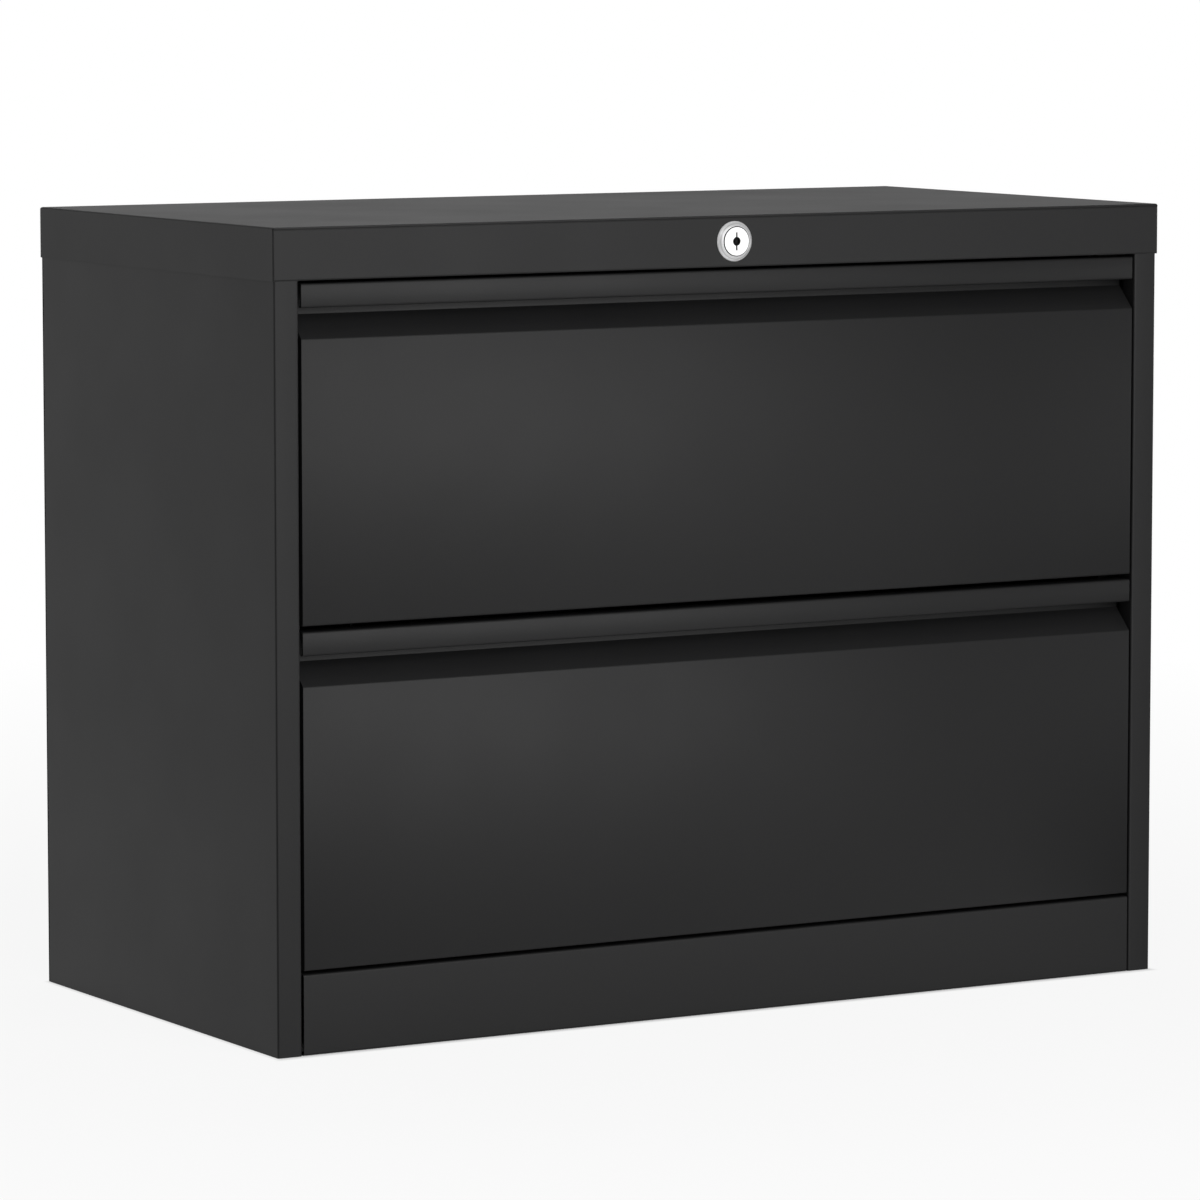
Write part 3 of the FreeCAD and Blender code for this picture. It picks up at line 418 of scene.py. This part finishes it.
def round_corners(obj):
    """Rounds the upright front corners of the cap, up over its bent edges."""
    low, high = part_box(obj.name)
    mesh = obj.data
    weights = []
    for edge in mesh.edges:
        ends = [obj.matrix_world @ mesh.vertices[i].co for i in edge.vertices]
        insets = [(high.x - abs(p.x), p.y - low.y, max(0.0, p.z - high.z + CAP_BEND)) for p in ends]
        on_corner = all(
            a < CAP_BEND_END and abs(a - b) < MITRE_TOLERANCE
            and abs(math.hypot(CAP_BEND - a, c) - CAP_BEND) < BEND_TOLERANCE for a, b, c in insets)
        weights.append(1.0 - insets[0][2] / CAP_BEND if on_corner else 0.0)
    mesh.attributes.new("bevel_weight_edge", "FLOAT", "EDGE").data.foreach_set("value", weights)
    flat = obj.modifiers.new("flat_faces", "DECIMATE")
    flat.decimate_type = "DISSOLVE"
    flat.angle_limit = math.radians(FLAT_ANGLE)
    bevel = obj.modifiers.new("corner_round", "BEVEL")
    bevel.width = CORNER_ROUND
    bevel.segments = CORNER_STEPS
    bevel.limit_method = "WEIGHT"
    bevel.use_clamp_overlap = False
    for place, name in enumerate(("joined_faces", "flat_faces", "corner_round", "edge_round")):
        obj.modifiers.move(obj.modifiers.find(name), place)
    obj.modifiers.new("face_normals", "WEIGHTED_NORMAL").weight = FACE_WEIGHT
    join_corners(obj)


def turned(mesh, profile, radius, height):
    """Joined circles about the local Z axis, from a closed seat up through a profile's shares."""
    circles = []
    turns = [2 * math.pi * i / ROUND_STEPS for i in range(ROUND_STEPS)]
    points = [(0, -HEAD_SEAT), (radius, -HEAD_SEAT)] + [(a * radius, b * height) for a, b in profile]
    for r, z in points:
        if r == 0:
            circles.append([mesh.verts.new((0, 0, z))])
        else:
            circles.append([mesh.verts.new((r * math.cos(a), r * math.sin(a), z)) for a in turns])
    for lower, upper in zip(circles, circles[1:]):
        for i in range(ROUND_STEPS):
            j = (i + 1) % ROUND_STEPS
            corners = [lower[i % len(lower)], lower[j % len(lower)],
                       upper[j % len(upper)], upper[i % len(upper)]]
            corners = [v for k, v in enumerate(corners) if v not in corners[:k]]
            if len(corners) > 2:
                mesh.faces.new(corners)
    return circles


def screw_head(mesh):
    """A low pan head with a cross recess, on the local Z axis."""
    rim = turned(mesh, SCREW_PROFILE, SCREW_RADIUS, SCREW_HEIGHT)[-1]
    arm, half = CROSS_ARM * SCREW_RADIUS, CROSS_HALF * SCREW_RADIUS
    outline = []
    for turn in range(4):
        a = turn * math.pi / 2
        for u, v in ((half, half), (arm, half), (arm, -half)):
            outline.append((u * math.cos(a) + v * math.sin(a), u * math.sin(a) - v * math.cos(a)))
    outline.sort(key=lambda p: math.atan2(p[1], p[0]))
    top = [mesh.verts.new((x, y, SCREW_HEIGHT)) for x, y in outline]
    low = [mesh.verts.new((CROSS_TAPER * x, CROSS_TAPER * y, CROSS_FLOOR * SCREW_HEIGHT)) for x, y in outline]
    count = len(top)
    for i in range(count):
        mesh.faces.new((top[(i + 1) % count], top[i], low[i], low[(i + 1) % count]))
    mesh.faces.new(low)
    loop = [mesh.edges.get((rim[i], rim[(i + 1) % ROUND_STEPS])) for i in range(ROUND_STEPS)]
    hole = [mesh.edges.get((top[i], top[(i + 1) % count])) for i in range(count)]
    bmesh.ops.triangle_fill(mesh, edges=loop + hole, use_beauty=True)


def rivet_head(mesh):
    """A domed blind rivet with its pulled-out centre."""
    turned(mesh, RIVET_PROFILE, RIVET_RADIUS, RIVET_HEIGHT)


def fasteners(name, body, build, places, direction, material):
    """One object of equal heads at several places, facing one direction."""
    whole = bmesh.new()
    turn = Vector((0, 0, 1)).rotation_difference(Vector(direction)).to_matrix().to_4x4()
    for index, place in enumerate(places):
        head = bmesh.new()
        build(head)
        spin = Matrix.Rotation(math.radians(HEAD_SPIN * index), 4, "Z")
        bmesh.ops.transform(head, matrix=Matrix.Translation(place) @ turn @ spin, verts=head.verts)
        bmesh.ops.recalc_face_normals(head, faces=head.faces)
        piece = bpy.data.meshes.new("head")
        head.to_mesh(piece)
        head.free()
        whole.from_mesh(piece)
        bpy.data.meshes.remove(piece)
    mesh = bpy.data.meshes.new(name)
    whole.to_mesh(mesh)
    whole.free()
    mesh.polygons.foreach_set("use_smooth", [True] * len(mesh.polygons))
    mesh.set_sharp_from_angle(angle=math.radians(SMOOTH_ANGLE))
    obj = bpy.data.objects.new(name, mesh)
    bpy.context.collection.objects.link(obj)
    put_on(obj, material)
    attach(obj, body)


def levels(low, high, count):
    """Evenly spaced values from low to high."""
    return [low + (high - low) * i / (count - 1) for i in range(count)]


def back_screws(zinc):
    """Screws down both edges of the back panel."""
    low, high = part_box("back_panel")
    places = []
    for x in (low.x + SCREW_SIDE_INSET, high.x - SCREW_SIDE_INSET):
        heights = levels(low.z + SCREW_END_INSET, high.z - SCREW_END_INSET, SCREW_LEVELS)
        places += [(x, high.y, z) for z in heights]
    fasteners("back_panel_screws", "cabinet", screw_head, places, (0, 1, 0), zinc)


def slide_rivets(zinc):
    """Rivets that hold each drawer's walls to the inner slide members."""
    for drawer in DRAWERS:
        for side, inward in (("left", 1), ("right", -1)):
            slide_low, slide_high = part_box(f"{drawer}_{side}_slide_inner")
            wall_low, wall_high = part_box(f"{drawer}_{side}_drawer_wall")
            face = wall_high.x if inward > 0 else wall_low.x
            middle = (slide_low.z + slide_high.z) / 2
            depths = levels(slide_low.y + RIVET_END_INSET, slide_high.y - RIVET_END_INSET, RIVETS_PER_SLIDE)
            fasteners(f"{drawer}_{side}_slide_rivets", f"{drawer}_drawer", rivet_head,
                      [(face, y, middle) for y in depths], (inward, 0, 0), zinc)


def rays(add):
    """1 for camera rays, and 1 for gloss and transmission rays."""
    path = add("LightPath")
    mirrored = calc(add, "MAXIMUM", path.outputs["Is Glossy Ray"], path.outputs["Is Transmission Ray"])
    return path.outputs["Is Camera Ray"], mirrored


def beside_case(add, place, case):
    """0 on the floor under the case, where no light comes, and 1 around it."""
    parts = add("SeparateXYZ", Vector=place)
    shares = []
    for axis, half in (("X", case[1].x), ("Y", case[1].y)):
        away = calc(add, "ABSOLUTE", parts.outputs[axis])
        shares.append(between(add, away, 0.0, 1.0, *(half + margin for margin in UNDER_CASE)))
    return calc(add, "MAXIMUM", *shares)


def unflagged(add, direction, flag, reach, level):
    """1 all round, and less towards a dark flag."""
    toward = measure(add, "DOT_PRODUCT", vector(add, "NORMALIZE", direction), flag)
    return between(add, toward, 1.0, level, *reach)


def unflagged_floor(add, place, case):
    """1 on the floor, and less where the case's bends and its drawers' lower right corners mirror it."""
    low, high = case
    lit = unflagged(add, vector(add, "SUBTRACT", place, (low.x, low.y, 0.0)), *FLAG)
    beside = vector(add, "SUBTRACT", place, (high.x, low.y, 0.0))
    past_mat = between(add, measure(add, "LENGTH", beside), 0.0, 1.0, *MAT_ENDS)
    return calc(add, "MULTIPLY", lit, calc(add, "MAXIMUM", unflagged(add, beside, *MAT), past_mat))


def floor_paint(case):
    """Pale paint that keeps the shadow; it is near white to the camera, and dark flags show in gloss."""
    material = bpy.data.materials.new("floor_paint")
    add = nodes_of(material)
    place = add("TexCoord").outputs["Object"]
    direct, mirrored = rays(add)
    whiteness = between(add, measure(add, "LENGTH", place), *FLOOR_WHITE, *FLOOR_WHITE_REACH)
    shown = calc(add, "MULTIPLY_ADD", mirrored, MIRROR_SHARE, calc(add, "MULTIPLY", direct, whiteness))
    shown = calc(add, "MULTIPLY", shown, beside_case(add, place, case))
    paint = add("BsdfDiffuse", Color=opaque(FLOOR_COLOUR))
    white = add("Emission", Color=WHITE, Strength=1.0)
    pale = add("MixShader", Fac=shown, _1=paint.outputs[0], _2=white.outputs[0])
    unlit = add("Math", {"operation": "SUBTRACT", "use_clamp": True}, _0=mirrored,
                _1=unflagged_floor(add, place, case))
    dark = add("Emission", Color=BLACK, Strength=0.0)
    mixed = add("MixShader", Fac=unlit.outputs[0], _1=pale.outputs[0], _2=dark.outputs[0])
    add("OutputMaterial", Surface=mixed.outputs[0])
    return material


def lay_floor(case):
    mesh = bpy.data.meshes.new("floor")
    half = FLOOR_SIZE / 2
    corners = [(-half, -half, 0), (half, -half, 0), (half, half, 0), (-half, half, 0)]
    mesh.from_pydata(corners, [], [(0, 1, 2, 3)])
    mesh.materials.append(floor_paint(case))
    floor = bpy.data.objects.new("floor", mesh)
    bpy.context.collection.objects.link(floor)


def surround():
    """White to the camera; in gloss, a white backdrop behind and a grey room with its dark flag."""
    world = bpy.data.worlds.new("studio")
    bpy.context.scene.world = world
    add = nodes_of(world)
    toward = add("TexCoord").outputs["Generated"]
    parts = add("SeparateXYZ", Vector=toward)
    behind = between(add, parts.outputs["Y"], 0.0, 1.0, *BACKDROP_TURN)
    low = between(add, parts.outputs["Z"], 1.0, 0.0, *BACKDROP_RISE)
    level = between(add, calc(add, "MULTIPLY", behind, low), ROOM_LEVEL, 1.0, 0.0, 1.0)
    level = calc(add, "MULTIPLY", level, unflagged(add, toward, *FLAG))
    direct, mirrored = rays(add)
    seen = add("Background", Color=WHITE, Strength=calc(add, "MAXIMUM", level, direct))
    ambient = add("Background", Color=WHITE, Strength=AMBIENT_LEVEL)
    mixed = add("MixShader", Fac=calc(add, "MAXIMUM", direct, mirrored), _1=ambient.outputs[0],
                _2=seen.outputs[0])
    add("OutputWorld", Surface=mixed.outputs[0])


def hang_lamps():
    """Soft lamps at a plain level, all turned to the case."""
    for name, place, size, power in LAMPS:
        lamp = bpy.data.lights.new(name, "AREA")
        lamp.shape = "RECTANGLE"
        lamp.size, lamp.size_y = size
        lamp.energy = power
        obj = bpy.data.objects.new(name, lamp)
        obj.location = place
        obj.rotation_euler = (Vector(LAMP_TARGET) - Vector(place)).to_track_quat("-Z", "Y").to_euler()
        bpy.context.collection.objects.link(obj)


def set_camera():
    yaw, pitch = math.radians(CAMERA_YAW), math.radians(CAMERA_PITCH)
    way = Vector((math.sin(yaw) * math.cos(pitch), math.cos(yaw) * math.cos(pitch), -math.sin(pitch)))
    data = bpy.data.cameras.new("camera")
    data.lens = CAMERA_LENS
    data.sensor_width = CAMERA_SENSOR
    data.sensor_fit = "HORIZONTAL"
    data.clip_end = CAMERA_REACH
    obj = bpy.data.objects.new("camera", data)
    obj.location = CAMERA_PLACE
    obj.rotation_euler = way.to_track_quat("-Z", "Y").to_euler()
    bpy.context.collection.objects.link(obj)
    bpy.context.scene.camera = obj


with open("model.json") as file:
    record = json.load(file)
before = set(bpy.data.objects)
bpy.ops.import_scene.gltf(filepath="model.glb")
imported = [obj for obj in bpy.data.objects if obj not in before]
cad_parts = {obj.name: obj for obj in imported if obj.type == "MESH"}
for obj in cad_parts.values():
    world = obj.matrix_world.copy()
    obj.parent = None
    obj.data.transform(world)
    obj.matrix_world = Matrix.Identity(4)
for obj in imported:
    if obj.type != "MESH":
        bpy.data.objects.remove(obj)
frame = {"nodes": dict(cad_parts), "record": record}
cad_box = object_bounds()
bpy.context.scene.view_settings.view_transform = "Standard"

# Finishes by material slot, and those of single nodes, which come first
lock_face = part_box("lock_core")[0].y
housing_low, housing_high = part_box("lock_housing")
lock_axis = (housing_low.z + housing_high.z) / 2
slot_finishes = {
    "black_coat": powder_coat("black_coat_finish"),
    "zinc_steel": zinc_plate("zinc_plate_finish", ZINC_COLOUR, ZINC_DARK),
    # The plug's finish paints shade into the keyhole and the groove round the plug
    "lock_chrome": lock_plate("lock_plug_finish", lock_axis, lock_face, plug_colour, PLUG_METAL),
}
# The bezel's finish has painted shading on its slope, a painted highlight on its outer edge and painted shade
# in the groove
bezel_finish = lock_plate("lock_bezel_finish", lock_axis, lock_face, bezel_colour, BEZEL_METAL)
front_finish = powder_coat("drawer_front_finish", crowned)
rail_finish = zinc_plate("dark_zinc_finish", RAIL_COLOUR, RAIL_DARK)
dull_finish = phosphate()
node_finishes = {"lock_housing": bezel_finish}
for drawer in DRAWERS:
    node_finishes[f"{drawer}_drawer_front"] = front_finish
    node_finishes[f"{drawer}_hanging_rails"] = rail_finish
for name in frame["nodes"]:
    if any(piece in name for piece in PHOSPHATED_PIECES):
        node_finishes[name] = dull_finish

# The cabinet
for part in frame["record"]["subparts"]:
    node = frame["nodes"][part["node"]]
    put_on(node, node_finishes.get(part["node"], slot_finishes[part["material_slot"]]))
    soften(node)
round_corners(frame["nodes"]["top_cap"])
for drawer in DRAWERS:
    join_corners(frame["nodes"][f"{drawer}_outer_ball_cages"])
back_screws(slot_finishes["zinc_steel"])
slide_rivets(slot_finishes["zinc_steel"])

# The stage
lay_floor(cad_box)
surround()
hang_lamps()
set_camera()
